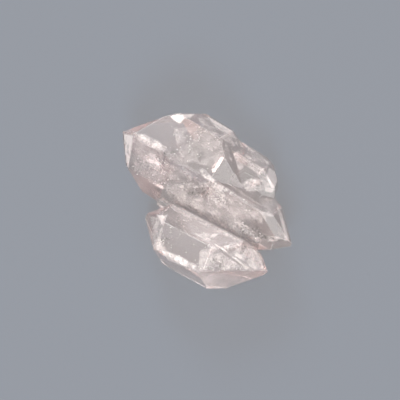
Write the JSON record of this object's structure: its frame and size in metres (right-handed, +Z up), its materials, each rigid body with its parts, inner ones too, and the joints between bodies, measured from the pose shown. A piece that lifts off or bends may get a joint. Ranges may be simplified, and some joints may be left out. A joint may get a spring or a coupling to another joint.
{
  "type": "double terminated quartz cluster",
  "caption": "Clear quartz crystals grown together side by side, each pointed at both ends, lying on their flattened undersides.",
  "frame": {"origin": "on the resting plane, under the middle of the cluster's bounding box", "axes": "+X along the crystals' long axes towards the pointed end of the longest one, +Y across them away from the front crystal, +Z up"},
  "size_m": [0.0334, 0.024, 0.013],
  "materials": {
    "clear_quartz": "clear natural crystal faces, faintly milky inside, with fine growth lines"
  },
  "bodies": {
    "root": {"quartz_cluster": "clear_quartz"}
  },
  "joints": []
}
